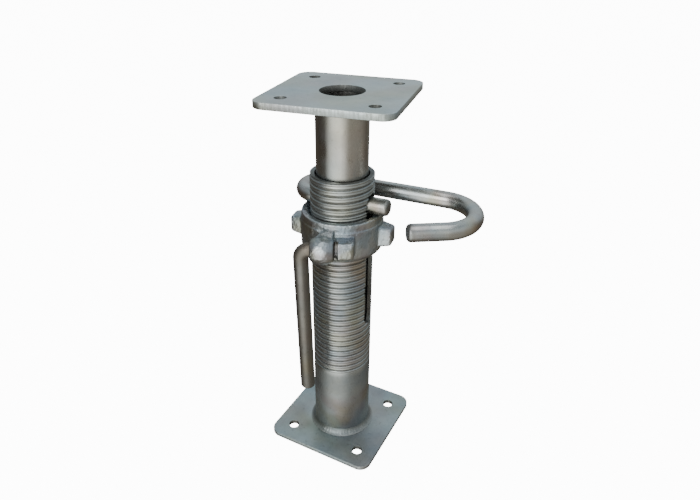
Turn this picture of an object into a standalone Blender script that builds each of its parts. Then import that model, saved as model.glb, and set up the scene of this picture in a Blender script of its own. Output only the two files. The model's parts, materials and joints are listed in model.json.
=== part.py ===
"""A short adjustable steel prop.

An outer tube with a rolled outside thread and two slots stands on a welded base plate. An inner
tube with a welded head plate slides in it. A bent pin goes through the slots and through a pair of
holes in the inner tube, and rests on a collar nut, so that turning the nut lifts the inner tube.
A bent bar hangs in a boss on the nut and serves as its handle.

The frame is in metres with +Z up. Its origin is at the centre of the base plate's underside, and the
base plate's sides lie along X and Y.
"""

import math

import bmesh
import bpy
from mathutils import Matrix, Vector

# Gap that seated pieces keep to each other.
SEAT_GAP = 0.0003
# Length by which a cutter runs past the wall that it cuts.
OVERRUN = 0.004

# Tubes.
INNER_TUBE_DIAMETER = 0.0483
INNER_TUBE_WALL = 0.0032
INNER_TUBE_LENGTH = 0.283
SLIDING_CLEARANCE = 0.0015
OUTER_TUBE_WALL = 0.0045
OUTER_TUBE_LENGTH = 0.2975

# End plates.
BASE_PLATE_SIZE = 0.120
BASE_PLATE_THICKNESS = 0.005
HEAD_PLATE_SIZE = 0.120
HEAD_PLATE_THICKNESS = 0.006
HEAD_PLATE_TURN = math.radians(10.3)
HEAD_HOLE_LEDGE = 0.001
PLATE_CORNER_RADIUS = 0.012
PLATE_EDGE_ROUND = 0.0007
BOLT_HOLE_SPACING = 0.080
BOLT_HOLE_DIAMETER = 0.0105
WELD_LEG = 0.005

# Thread rolled into the outer tube. The widths are measured along the tube.
THREAD_LENGTH = 0.2157
THREAD_PITCH = 0.00635
THREAD_DEPTH = 0.0013
THREAD_ROOT_WIDTH = 0.0013
THREAD_FLANK_WIDTH = 0.0007
THREAD_CLEARANCE = 0.0004
THREAD_FADE_TURNS = 0.75

# Bent pin, and the slots and holes that it goes through.
PIN_DIAMETER = 0.016
PIN_TURN = math.radians(4.6)
PIN_CHAMFER = 0.003
PIN_TIP_STANDOUT = 0.0168
PIN_BEND_SETBACK = 0.003
PIN_HOLE_CLEARANCE = 0.00075
PIN_HOLE_FROM_HEAD = 0.0958
PIN_HOLE_SPACING = 0.100
PIN_HOLE_PAIRS = 2
SLOT_CLEARANCE = 0.00125
SLOT_FROM_RIM = 0.0155
SLOT_LENGTH = 0.1435
HOOK_TUBE_GAP = 0.002
HOOK_LEG_STANDOUT = 0.0585
HOOK_BEND_RADIUS = 0.0345
HOOK_BEND_ANGLE = math.radians(151)
HOOK_END_LENGTH = 0.033

# Collar nut.
NUT_BELOW_RIM = 0.0358
NUT_HEIGHT = 0.039
NUT_WALL = 0.0089
NUT_TOP_BAND = 0.007
NUT_BAND_STEP = 0.0008
NUT_TOP_EDGE = 0.001
NUT_FOOT_ROUND = 0.0055
NUT_FOOT_ROUND_HEIGHT = 0.0065
NUT_COUNTERSINK = 0.0032
NUT_TURN = math.radians(-82.7)
LUG_STANDOUT = 0.0112
LUG_WIDTH = 0.0205
LUG_HEIGHT = 0.0215
LUG_DRAFT = 0.0025
LUG_ROUND = 0.002
LUG_BELOW_NUT_TOP = 0.0102
LUG_ANGLES = [math.radians(degrees) for degrees in (24.0, 92.5, 204.0, 272.5)]
BOSS_DIAMETER = 0.0255
BOSS_END_DIAMETER = 0.020
BOSS_LENGTH = 0.0213
BOSS_STANDOUT = 0.0101
BOSS_BELOW_NUT_TOP = 0.0205
BOSS_TURN = math.radians(16)
BOSS_NECK_TOP_WIDTH = 0.005
BOSS_NECK_TOP_DROP = 0.003
BOSS_NECK_SHARE = 0.8

# Handle bar.
HANDLE_DIAMETER = 0.0143
HANDLE_BORE_CLEARANCE = 0.0005
HANDLE_BEND_RADIUS = 0.0079
HANDLE_BEND_ANGLE = math.radians(91)
HANDLE_BEND_GAP = 0.0008
HANDLE_LENGTH = 0.1575
HANDLE_CHAMFER = 0.0015
HANDLE_HEAD_FLARE = 0.0012
HANDLE_HEAD_THICKNESS = 0.003

# Number of facets round each form.
THREAD_STEPS = 28
TUBE_STEPS = 28
HOLE_STEPS = 20
CORNER_STEPS = 5
ROUND_STEPS = 3
BAR_RESOLUTION = 6
BEND_STEPS_PER_TURN = 32

# Sizes that follow from the ones above.
INNER_RADIUS = INNER_TUBE_DIAMETER / 2
INNER_BORE_RADIUS = INNER_RADIUS - INNER_TUBE_WALL
OUTER_BORE_RADIUS = INNER_RADIUS + SLIDING_CLEARANCE
OUTER_RADIUS = OUTER_BORE_RADIUS + OUTER_TUBE_WALL
PIN_RADIUS = PIN_DIAMETER / 2
PIN_HOLE_RADIUS = PIN_RADIUS + PIN_HOLE_CLEARANCE
SLOT_HALF_WIDTH = PIN_RADIUS + SLOT_CLEARANCE
OUTER_TUBE_FOOT = BASE_PLATE_THICKNESS + SEAT_GAP
RIM_HEIGHT = OUTER_TUBE_FOOT + OUTER_TUBE_LENGTH
THREAD_FOOT = RIM_HEIGHT - THREAD_LENGTH
NUT_TOP = RIM_HEIGHT - NUT_BELOW_RIM
NUT_FOOT = NUT_TOP - NUT_HEIGHT
NUT_RADIUS = OUTER_RADIUS + THREAD_CLEARANCE + NUT_WALL
PIN_HEIGHT = NUT_TOP + SEAT_GAP + PIN_RADIUS
PIN_HOLE_HEIGHT = PIN_HEIGHT + PIN_RADIUS + SEAT_GAP - PIN_HOLE_RADIUS
INNER_TUBE_TOP = PIN_HOLE_HEIGHT + PIN_HOLE_FROM_HEAD
INNER_TUBE_FOOT = INNER_TUBE_TOP - INNER_TUBE_LENGTH
HEAD_PLATE_FOOT = INNER_TUBE_TOP + SEAT_GAP
BOSS_RADIAL = NUT_RADIUS + BOSS_STANDOUT
BOSS_HEIGHT = NUT_TOP - BOSS_BELOW_NUT_TOP
HANDLE_RADIUS = HANDLE_DIAMETER / 2


def clear_scene():
    """Removes whatever the scene holds, such as the startup objects."""
    for obj in list(bpy.data.objects):
        bpy.data.objects.remove(obj, do_unlink=True)


def make_material(name, colour, roughness):
    """A bare or plated metal."""
    material = bpy.data.materials.new(name)
    material.use_nodes = True
    shader = material.node_tree.nodes["Principled BSDF"]
    shader.inputs["Base Color"].default_value = (*colour, 1)
    shader.inputs["Roughness"].default_value = roughness
    shader.inputs["Metallic"].default_value = 1
    return material


def link_object(name, data, material=None):
    """Puts a mesh or a curve in the scene as one named object."""
    obj = bpy.data.objects.new(name, data)
    bpy.context.scene.collection.objects.link(obj)
    if material:
        data.materials.append(material)
    return obj


def mesh_object(name, bm, material=None):
    """Turns a bmesh into an object, shaded smooth apart from its real edges."""
    bmesh.ops.recalc_face_normals(bm, faces=bm.faces)
    mesh = bpy.data.meshes.new(name)
    bm.to_mesh(mesh)
    bm.free()
    mesh.shade_smooth()
    mesh.set_sharp_from_angle(angle=math.radians(32))
    return link_object(name, mesh, material)


def as_helper(obj):
    """Marks an object as a cutter or as a piece that is joined into another."""
    obj.hide_render = True
    obj.display_type = "WIRE"
    return obj


def combine(target, helper, operation):
    """Cuts a helper out of a piece, or joins it to the piece."""
    modifier = target.modifiers.new(operation.lower(), "BOOLEAN")
    modifier.operation = operation
    modifier.solver = "EXACT"
    modifier.object = as_helper(helper)


def turned(profile, steps):
    """A bmesh of a closed profile of (radius, height) points, turned round Z."""
    bm = bmesh.new()
    verts = [bm.verts.new((radius, 0, height)) for radius, height in profile]
    edges = [bm.edges.new((verts[i - 1], verts[i])) for i in range(len(verts))]
    bmesh.ops.spin(
        bm,
        geom=verts + edges,
        cent=(0, 0, 0),
        axis=(0, 0, 1),
        angle=2 * math.pi,
        steps=steps,
        use_merge=True,
    )
    return bm


def add_cylinder(bm, radius, start, end, steps):
    """Adds a closed cylinder from one point to another."""
    start, end = Vector(start), Vector(end)
    along = end - start
    turn = along.to_track_quat("Z", "Y").to_matrix().to_4x4()
    place = Matrix.Translation((start + end) / 2) @ turn
    bmesh.ops.create_cone(
        bm,
        cap_ends=True,
        segments=steps,
        radius1=radius,
        radius2=radius,
        depth=along.length,
        matrix=place,
    )


def loft(loops):
    """A closed bmesh through loops that have the same number of points, in order from the foot up."""
    bm = bmesh.new()
    rings = [[bm.verts.new(point) for point in loop] for loop in loops]
    for lower, upper in zip(rings, rings[1:]):
        for i in range(len(lower)):
            bm.faces.new((lower[i - 1], lower[i], upper[i], upper[i - 1]))
    bm.faces.new(reversed(rings[0]))
    bm.faces.new(rings[-1])
    return bm


def direction(angle):
    """The level direction at an angle from +X."""
    return Vector((math.cos(angle), math.sin(angle), 0))


def threaded_bar(name, foot, top, thread_foot, crest, depth, root_width, flank_width):
    """A closed round bar with one right-hand groove, which fades in at thread_foot and runs out at the top.

    The groove is a helical grid of four points for each pitch, one column for each step round the bar.
    After a full turn a column meets the next one a pitch further up.
    """
    offsets = (0, flank_width, flank_width + root_width, 2 * flank_width + root_width)
    depth_shares = (0, 1, 1, 0)
    turns = math.ceil((top - thread_foot) / THREAD_PITCH) + 1
    bm = bmesh.new()
    columns = []
    for step in range(THREAD_STEPS):
        around = step / THREAD_STEPS
        outward = direction(2 * math.pi * around)
        column = [bm.verts.new(outward * crest + Vector((0, 0, foot)))]
        for turn in range(turns):
            run = turn + around
            cut = depth * min(1, run / THREAD_FADE_TURNS)
            for offset, depth_share in zip(offsets, depth_shares):
                height = thread_foot + run * THREAD_PITCH + offset
                radius = crest - cut * depth_share
                column.append(bm.verts.new(outward * radius + Vector((0, 0, height))))
        columns.append(column)
    for step, here in enumerate(columns):
        there = columns[(step + 1) % THREAD_STEPS]
        lift = len(offsets) if step + 1 == THREAD_STEPS else 0
        bm.faces.new([here[0], there[0], *there[1 : 2 + lift], here[1]])
        for row in range(1, len(here) - 1 - lift):
            bm.faces.new((here[row], there[row + lift], there[row + lift + 1], here[row + 1]))
    bm.faces.new(column[0] for column in reversed(columns))
    everything = [*bm.verts, *bm.edges, *bm.faces]
    cut_line = bmesh.ops.bisect_plane(
        bm, geom=everything, plane_co=(0, 0, top), plane_no=(0, 0, 1), clear_outer=True
    )
    rim = [part for part in cut_line["geom_cut"] if isinstance(part, bmesh.types.BMEdge)]
    bmesh.ops.contextual_create(bm, geom=rim)
    return mesh_object(name, bm)


def rounded_square(size, corner_radius, height):
    """The outline of a square plate, anticlockwise, with arcs for its corners."""
    reach = size / 2 - corner_radius
    points = []
    for corner in range(4):
        centre = direction(math.pi / 4 + corner * math.pi / 2) * reach * math.sqrt(2)
        for step in range(CORNER_STEPS + 1):
            angle = (corner + step / CORNER_STEPS) * math.pi / 2
            points.append(centre + direction(angle) * corner_radius + Vector((0, 0, height)))
    return points


def end_plate(name, size, thickness, foot, turn, material, centre_hole_radius=0):
    """A cropped plate with rolled edges, four bolt holes and, where it has one, a hole in the middle."""
    inner_size = size - 2 * PLATE_EDGE_ROUND
    inner_corner = PLATE_CORNER_RADIUS - PLATE_EDGE_ROUND
    bm = loft(
        [
            rounded_square(inner_size, inner_corner, 0),
            rounded_square(size, PLATE_CORNER_RADIUS, PLATE_EDGE_ROUND),
            rounded_square(size, PLATE_CORNER_RADIUS, thickness - PLATE_EDGE_ROUND),
            rounded_square(inner_size, inner_corner, thickness),
        ]
    )
    plate = mesh_object(name, bm, material)
    plate.location = (0, 0, foot)
    plate.rotation_euler = (0, 0, turn)
    holes = bmesh.new()
    below, above = Vector((0, 0, -OVERRUN)), Vector((0, 0, thickness + OVERRUN))
    reach = BOLT_HOLE_SPACING / math.sqrt(2)
    for corner in range(4):
        centre = direction(math.pi / 4 + corner * math.pi / 2) * reach
        add_cylinder(holes, BOLT_HOLE_DIAMETER / 2, centre + below, centre + above, HOLE_STEPS)
    if centre_hole_radius:
        add_cylinder(holes, centre_hole_radius, below, above, TUBE_STEPS)
    cutter = mesh_object(name + "_holes", holes)
    cutter.parent = plate
    combine(plate, cutter, "DIFFERENCE")
    return plate


def weld_bead(name, radius, height, up, material):
    """A fillet weld round a tube at a plate. up is 1 where the bead stands on the plate, -1 where it hangs."""
    inside = radius + SEAT_GAP
    seat = height + up * SEAT_GAP
    arc_shares = (0.25, 0.5, 0.75)
    profile = [(inside, seat), (inside + WELD_LEG, seat)]
    for share in arc_shares:
        angle = share * math.pi / 2
        profile.append((inside + WELD_LEG * math.cos(angle), seat + up * WELD_LEG * math.sin(angle)))
    profile.append((inside, seat + up * WELD_LEG))
    return mesh_object(name, turned(profile, TUBE_STEPS), material)


def outer_tube(material):
    """The threaded tube, with its bore and the two slots for the pin."""
    tube = threaded_bar(
        "outer_tube",
        OUTER_TUBE_FOOT,
        RIM_HEIGHT,
        THREAD_FOOT,
        OUTER_RADIUS,
        THREAD_DEPTH,
        THREAD_ROOT_WIDTH,
        THREAD_FLANK_WIDTH,
    )
    tube.data.materials.append(material)
    bore = bmesh.new()
    bore_foot = (0, 0, OUTER_TUBE_FOOT - OVERRUN)
    add_cylinder(bore, OUTER_BORE_RADIUS, bore_foot, (0, 0, RIM_HEIGHT + OVERRUN), TUBE_STEPS)
    combine(tube, mesh_object("outer_bore", bore), "DIFFERENCE")
    combine(tube, slot_cutter(), "DIFFERENCE")
    return tube


def slot_cutter():
    """A flat bar with round edges that cuts both slots at once."""
    top = RIM_HEIGHT - SLOT_FROM_RIM - SLOT_HALF_WIDTH
    foot = RIM_HEIGHT - SLOT_FROM_RIM - SLOT_LENGTH + SLOT_HALF_WIDTH
    half_steps = HOLE_STEPS // 2
    reach = OUTER_RADIUS + OVERRUN
    outline = []
    for centre, start in ((top, 0), (foot, math.pi)):
        for step in range(half_steps + 1):
            angle = start + math.pi * step / half_steps
            across = SLOT_HALF_WIDTH * math.cos(angle)
            outline.append((across, centre + SLOT_HALF_WIDTH * math.sin(angle)))
    loops = [[Vector((end, across, height)) for across, height in outline] for end in (-reach, reach)]
    cutter = mesh_object("slots", loft(loops))
    cutter.rotation_euler = (0, 0, PIN_TURN)
    return cutter


def inner_tube(material):
    """The plain tube with its row of pin holes."""
    profile = [
        (INNER_BORE_RADIUS, INNER_TUBE_FOOT),
        (INNER_RADIUS, INNER_TUBE_FOOT),
        (INNER_RADIUS, INNER_TUBE_TOP),
        (INNER_BORE_RADIUS, INNER_TUBE_TOP),
    ]
    tube = mesh_object("inner_tube", turned(profile, TUBE_STEPS), material)
    holes = bmesh.new()
    reach = direction(PIN_TURN) * (INNER_RADIUS + OVERRUN)
    for pair in range(PIN_HOLE_PAIRS):
        centre = Vector((0, 0, PIN_HOLE_HEIGHT - pair * PIN_HOLE_SPACING))
        add_cylinder(holes, PIN_HOLE_RADIUS, centre - reach, centre + reach, HOLE_STEPS)
    combine(tube, mesh_object("pin_holes", holes), "DIFFERENCE")
    return tube


def arc(centre, radius, start, sweep):
    """Points of a flat arc in order, without its first one. A negative sweep goes clockwise."""
    steps = math.ceil(abs(sweep) / (2 * math.pi) * BEND_STEPS_PER_TURN)
    angles = [start + sweep * (step + 1) / steps for step in range(steps)]
    return [centre + Vector((math.cos(angle), math.sin(angle))) * radius for angle in angles]


def bent_bar(name, points, shares, radius, material):
    """A round bar along a path. shares gives the radius at each point as a share of the bar's own."""
    curve = bpy.data.curves.new(name, "CURVE")
    curve.dimensions = "3D"
    curve.fill_mode = "FULL"
    curve.bevel_depth = radius
    curve.bevel_resolution = BAR_RESOLUTION
    curve.use_fill_caps = True
    spline = curve.splines.new("POLY")
    spline.points.add(len(points) - 1)
    for target, point, share in zip(spline.points, points, shares):
        target.co = (*point, 1)
        target.radius = share
    spline.use_smooth = True
    return link_object(name, curve, material)


def bent_pin(material):
    """The bent pin: a shank through the tubes, a return bend, a leg beside the tube and a hook."""
    leg_offset = OUTER_RADIUS + HOOK_TUBE_GAP + PIN_RADIUS
    tip = OUTER_RADIUS + PIN_TIP_STANDOUT
    return_start = -(OUTER_RADIUS - PIN_BEND_SETBACK)
    return_radius = leg_offset / 2
    hook_start = OUTER_RADIUS + HOOK_LEG_STANDOUT
    flat = [Vector((tip, 0)), Vector((tip - PIN_CHAMFER, 0)), Vector((return_start, 0))]
    flat += arc(Vector((return_start, return_radius)), return_radius, -math.pi / 2, -math.pi)
    flat.append(Vector((hook_start, leg_offset)))
    hook_centre = Vector((hook_start, leg_offset - HOOK_BEND_RADIUS))
    flat += arc(hook_centre, HOOK_BEND_RADIUS, math.pi / 2, -HOOK_BEND_ANGLE)
    heading = Vector((math.cos(HOOK_BEND_ANGLE), -math.sin(HOOK_BEND_ANGLE)))
    hook_end = flat[-1] + heading * HOOK_END_LENGTH
    flat += [hook_end - heading * PIN_CHAMFER, hook_end]
    shares = [1] * len(flat)
    shares[0] = shares[-1] = 1 - PIN_CHAMFER / PIN_RADIUS
    points = [Vector((point.x, point.y, 0)) for point in flat]
    pin = bent_bar("bent_pin", points, shares, PIN_RADIUS, material)
    pin.location = (0, 0, PIN_HEIGHT)
    pin.rotation_euler = (0, 0, PIN_TURN)
    return pin


def lug(name):
    """A cast lug that stands out along +X, with draft on its sides and rounded edges."""
    root = OUTER_RADIUS + THREAD_CLEARANCE + NUT_WALL / 2
    end = NUT_RADIUS + LUG_STANDOUT
    loops = []
    for distance, draft in ((root, 0), (end, LUG_DRAFT)):
        half_width = LUG_WIDTH / 2 - draft
        half_height = LUG_HEIGHT / 2 - draft
        signs = ((-1, -1), (1, -1), (1, 1), (-1, 1))
        loops.append([Vector((distance, y * half_width, z * half_height)) for y, z in signs])
    bm = loft(loops)
    bmesh.ops.bevel(bm, geom=bm.edges[:], offset=LUG_ROUND, segments=2, profile=0.5, affect="EDGES")
    return mesh_object(name, bm)


def boss_place():
    """The middle of the handle's axis in the boss."""
    return direction(NUT_TURN) * BOSS_RADIAL + Vector((0, 0, BOSS_HEIGHT))


def along_y(profile, steps):
    """A closed profile of (radius, distance) points, turned round Y."""
    bm = turned(profile, steps)
    bmesh.ops.rotate(bm, verts=bm.verts, cent=(0, 0, 0), matrix=Matrix.Rotation(-math.pi / 2, 3, "X"))
    return bm


def nut_boss():
    """The barrel that holds the handle, along Y at the origin."""
    half = BOSS_LENGTH / 2
    end_radius, middle_radius = BOSS_END_DIAMETER / 2, BOSS_DIAMETER / 2
    along_shares = (-1, -0.6, 0, 0.6, 1)
    core = HANDLE_RADIUS / 2
    profile = [(core, -half)]
    for share in along_shares:
        radius = end_radius + (middle_radius - end_radius) * (1 - share * share)
        profile.append((radius, share * half))
    profile.append((core, half))
    return along_y(profile, HOLE_STEPS)


def boss_neck():
    """The web between the ring and the boss. It narrows and rises towards the ring's top."""
    ring = direction(NUT_TURN) * (NUT_RADIUS - NUT_WALL / 2)
    across = direction(NUT_TURN + math.pi / 2)
    boss_across = direction(NUT_TURN + BOSS_TURN + math.pi / 2)
    upright = Vector((0, 0, 1))
    boss_half = BOSS_LENGTH / 2 * BOSS_NECK_SHARE
    boss_rise = BOSS_DIAMETER / 2 * BOSS_NECK_SHARE
    foot_width = boss_half * 2
    inner = []
    outer = []
    corners = (
        (-1, foot_width, NUT_FOOT + NUT_FOOT_ROUND_HEIGHT, -boss_rise),
        (1, foot_width, NUT_FOOT + NUT_FOOT_ROUND_HEIGHT, -boss_rise),
        (1, BOSS_NECK_TOP_WIDTH, NUT_TOP - BOSS_NECK_TOP_DROP, boss_rise),
        (-1, BOSS_NECK_TOP_WIDTH, NUT_TOP - BOSS_NECK_TOP_DROP, boss_rise),
    )
    for side, width, height, rise in corners:
        inner.append(ring + across * side * width / 2 + upright * height)
        outer.append(boss_place() + boss_across * side * boss_half + upright * rise)
    return loft([inner, outer])


def collar_nut(material):
    """The cast nut: a ring with lugs and a boss, tapped to run on the outer tube's thread."""
    core = OUTER_BORE_RADIUS
    profile = [(core, NUT_FOOT), (NUT_RADIUS - NUT_FOOT_ROUND, NUT_FOOT)]
    for step in range(1, ROUND_STEPS + 1):
        angle = step / ROUND_STEPS * math.pi / 2
        inset = NUT_FOOT_ROUND * (1 - math.sin(angle))
        rise = NUT_FOOT_ROUND_HEIGHT * (1 - math.cos(angle))
        profile.append((NUT_RADIUS - inset, NUT_FOOT + rise))
    band_radius = NUT_RADIUS - NUT_BAND_STEP
    profile += [
        (NUT_RADIUS, NUT_TOP - NUT_TOP_BAND - NUT_BAND_STEP),
        (band_radius, NUT_TOP - NUT_TOP_BAND),
        (band_radius, NUT_TOP - NUT_TOP_EDGE),
        (band_radius - NUT_TOP_EDGE, NUT_TOP),
        (core, NUT_TOP),
    ]
    nut = mesh_object("collar_nut", turned(profile, TUBE_STEPS), material)
    for number, angle in enumerate(LUG_ANGLES):
        helper = lug(f"lug_{number + 1}")
        helper.location = (0, 0, NUT_TOP - LUG_BELOW_NUT_TOP - LUG_HEIGHT / 2)
        helper.rotation_euler = (0, 0, NUT_TURN + angle)
        combine(nut, helper, "UNION")
    combine(nut, mesh_object("boss_neck", boss_neck()), "UNION")
    boss = mesh_object("boss", nut_boss())
    combine(nut, boss, "UNION")
    turns_below = math.floor((NUT_FOOT - THREAD_FOOT) / THREAD_PITCH) - 2
    tap_foot = THREAD_FOOT + turns_below * THREAD_PITCH
    tap = threaded_bar(
        "tap",
        tap_foot - OVERRUN,
        NUT_TOP + OVERRUN,
        tap_foot + THREAD_CLEARANCE,
        OUTER_RADIUS + THREAD_CLEARANCE,
        THREAD_DEPTH,
        THREAD_ROOT_WIDTH - 2 * THREAD_CLEARANCE,
        THREAD_FLANK_WIDTH,
    )
    combine(nut, tap, "DIFFERENCE")
    mouth = OUTER_RADIUS + THREAD_CLEARANCE
    sink = [
        (0, NUT_TOP - NUT_COUNTERSINK - mouth),
        (mouth + NUT_COUNTERSINK + OVERRUN, NUT_TOP + OVERRUN),
        (0, NUT_TOP + OVERRUN),
    ]
    combine(nut, mesh_object("nut_countersink", turned(sink, TUBE_STEPS)), "DIFFERENCE")
    drill = mesh_object("handle_bore", handle_bore())
    combine(nut, drill, "DIFFERENCE")
    for helper in (boss, drill):
        helper.location = boss_place()
        helper.rotation_euler = (0, 0, NUT_TURN + BOSS_TURN)
    return nut


def handle_bore():
    """The bore for the handle along Y, with a countersink for the handle's head."""
    half = BOSS_LENGTH / 2
    radius = HANDLE_RADIUS + HANDLE_BORE_CLEARANCE
    steepness = HANDLE_HEAD_FLARE / HANDLE_HEAD_THICKNESS
    profile = [
        (0, -half - OVERRUN),
        (radius, -half - OVERRUN),
        (radius, half - HANDLE_HEAD_THICKNESS),
        (radius + HANDLE_HEAD_FLARE + steepness * OVERRUN, half + OVERRUN),
        (0, half + OVERRUN),
    ]
    return along_y(profile, HOLE_STEPS)


def nut_handle(material):
    """The hanging handle. Its origin is on the boss's axis, and its end is spread in the boss's countersink."""
    head_end = BOSS_LENGTH / 2
    bend_start = -(BOSS_LENGTH / 2 + HANDLE_BEND_GAP)
    flat = [Vector((head_end, 0)), Vector((head_end - HANDLE_HEAD_THICKNESS, 0)), Vector((bend_start, 0))]
    bend_centre = Vector((bend_start, -HANDLE_BEND_RADIUS))
    flat += arc(bend_centre, HANDLE_BEND_RADIUS, math.pi / 2, HANDLE_BEND_ANGLE)
    heading = Vector((-math.cos(HANDLE_BEND_ANGLE), -math.sin(HANDLE_BEND_ANGLE)))
    leg_end = flat[-1] + heading * (HANDLE_LENGTH - HANDLE_BEND_RADIUS)
    flat += [leg_end - heading * HANDLE_CHAMFER, leg_end]
    shares = [1] * len(flat)
    shares[0] = 1 + HANDLE_HEAD_FLARE / HANDLE_RADIUS
    shares[-1] = 1 - HANDLE_CHAMFER / HANDLE_RADIUS
    points = [Vector((0, point.x, point.y)) for point in flat]
    handle = bent_bar("nut_handle", points, shares, HANDLE_RADIUS, material)
    handle.location = boss_place()
    handle.rotation_euler = (0, 0, NUT_TURN + BOSS_TURN)
    return handle


def main():
    clear_scene()
    plated = make_material("zinc_plated_steel", (0.60, 0.63, 0.62), 0.38)
    tube_steel = make_material("zinc_plated_tube", (0.52, 0.53, 0.51), 0.32)
    cast = make_material("zinc_plated_casting", (0.50, 0.52, 0.52), 0.5)
    weld = make_material("plated_weld", (0.55, 0.57, 0.55), 0.45)
    end_plate("base_plate", BASE_PLATE_SIZE, BASE_PLATE_THICKNESS, 0, 0, plated)
    weld_bead("base_weld", OUTER_RADIUS, BASE_PLATE_THICKNESS, 1, weld)
    outer_tube(tube_steel)
    inner_tube(tube_steel)
    weld_bead("head_weld", INNER_RADIUS, HEAD_PLATE_FOOT, -1, weld)
    end_plate(
        "head_plate",
        HEAD_PLATE_SIZE,
        HEAD_PLATE_THICKNESS,
        HEAD_PLATE_FOOT,
        HEAD_PLATE_TURN,
        plated,
        INNER_BORE_RADIUS - HEAD_HOLE_LEDGE,
    )
    bent_pin(tube_steel)
    collar_nut(cast)
    nut_handle(tube_steel)


main()
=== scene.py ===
"""Looks for the adjustable steel prop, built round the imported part.

All its pieces are made again here with finer forms and worn zinc plating. Every finished piece
is in the row frame, in metres, with its object at the origin.
"""

import json
import math

import bmesh
import bpy
import numpy as np
from mathutils import Matrix, Vector

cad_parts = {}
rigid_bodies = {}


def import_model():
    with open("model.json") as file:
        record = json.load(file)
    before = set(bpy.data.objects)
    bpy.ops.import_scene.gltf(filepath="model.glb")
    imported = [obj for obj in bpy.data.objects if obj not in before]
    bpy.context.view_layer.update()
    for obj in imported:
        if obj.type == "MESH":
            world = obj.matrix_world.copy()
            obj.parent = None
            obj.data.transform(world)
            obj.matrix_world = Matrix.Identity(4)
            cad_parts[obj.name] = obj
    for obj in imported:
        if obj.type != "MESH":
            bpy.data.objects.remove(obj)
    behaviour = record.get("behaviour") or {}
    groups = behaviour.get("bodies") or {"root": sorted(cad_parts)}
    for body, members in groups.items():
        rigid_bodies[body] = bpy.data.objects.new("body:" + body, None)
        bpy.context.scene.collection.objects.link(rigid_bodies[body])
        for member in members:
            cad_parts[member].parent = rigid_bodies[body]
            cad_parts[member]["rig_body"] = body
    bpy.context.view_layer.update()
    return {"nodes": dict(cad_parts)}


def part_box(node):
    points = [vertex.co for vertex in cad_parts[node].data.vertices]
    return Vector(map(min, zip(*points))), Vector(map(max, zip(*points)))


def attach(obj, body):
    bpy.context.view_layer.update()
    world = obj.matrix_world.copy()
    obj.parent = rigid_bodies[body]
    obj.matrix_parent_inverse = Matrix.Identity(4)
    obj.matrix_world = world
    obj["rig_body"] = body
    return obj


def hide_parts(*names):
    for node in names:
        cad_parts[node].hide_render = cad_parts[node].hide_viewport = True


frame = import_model()

MM = 0.001

# Tubes, from the CAD part.
INNER_RADIUS = 24.15 * MM
INNER_BORE_RADIUS = 20.95 * MM
OUTER_RADIUS = 30.15 * MM
OUTER_BORE_RADIUS = 25.65 * MM
TUBE_EDGE = 0.4 * MM
TUBE_FOOT, TUBE_RIM = (corner.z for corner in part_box("outer_tube"))
INNER_FOOT, INNER_TOP = (corner.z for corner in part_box("inner_tube"))

# Rolled thread.
THREAD_FOOT = TUBE_RIM - 215.7 * MM
THREAD_PITCH = 6.35 * MM
THREAD_DEPTH = 1.3 * MM
THREAD_FADE_TURNS = 0.9
THREAD_GAP = 0.4 * MM
THREAD_ROWS_PER_TURN = 14
THREAD_COLUMNS = 120
# How deep the thread is along one pitch: a wide groove, then a shallow one in the crest.
THREAD_SHARES = (
    (0.0, 0.06), (0.04, 0.2), (0.10, 0.85), (0.14, 1.0), (0.29, 1.0), (0.33, 0.85), (0.39, 0.2),
    (0.43, 0.06), (0.52, 0.0), (0.60, 0.08), (0.68, 0.30), (0.72, 0.34), (0.76, 0.30), (0.84, 0.08),
    (0.92, 0.0), (1.0, 0.06),
)

# The tap that cuts the nut's thread.
TAP_FADE_TURNS = 0.3
TAP_LEAD_TURNS = 3
TAP_BORE_RADIUS = 2 * MM
TAP_OVERRUN = 2 * MM

# Slots and pin holes.
PIN_TURN = math.radians(4.6)
PIN_RADIUS = 8 * MM
SLOT_HALF_WIDTH = 9.25 * MM
SLOT_TOP = TUBE_RIM - 15.5 * MM
SLOT_FOOT = SLOT_TOP - 143.5 * MM
PIN_HOLE_RADIUS = 8.75 * MM
PIN_HOLE_SPACING = 100 * MM
PIN_HOLE_PAIRS = 2
PIN_HOLE_DROP = 0.45 * MM
# How far drills and the other cutters stand out of what they cut.
DRILL_OVERRUN = 4 * MM
CUTTER_OVERRUN = 5 * MM

# Bent pin.
PIN_HEIGHT = sum(corner.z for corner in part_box("bent_pin")) / 2
PIN_TIP = 46.95 * MM
PIN_RETURN_START = -27.15 * MM
PIN_LEG_OFFSET = 40.15 * MM
HOOK_START = 88.65 * MM
HOOK_RADIUS = 34.5 * MM
HOOK_ANGLE = math.radians(151)
HOOK_END_LENGTH = 33 * MM
# The rounded ends: distances from the tip in millimetres, and shares of the full thickness there.
PIN_END_SHARES = (
    (0.0, 0.56), (0.3, 0.74), (0.9, 0.855), (1.8, 0.945), (3.0, 0.992), (3.6, 1.0), (5.0, 1.0), (7.5, 1.0),
)

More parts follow.
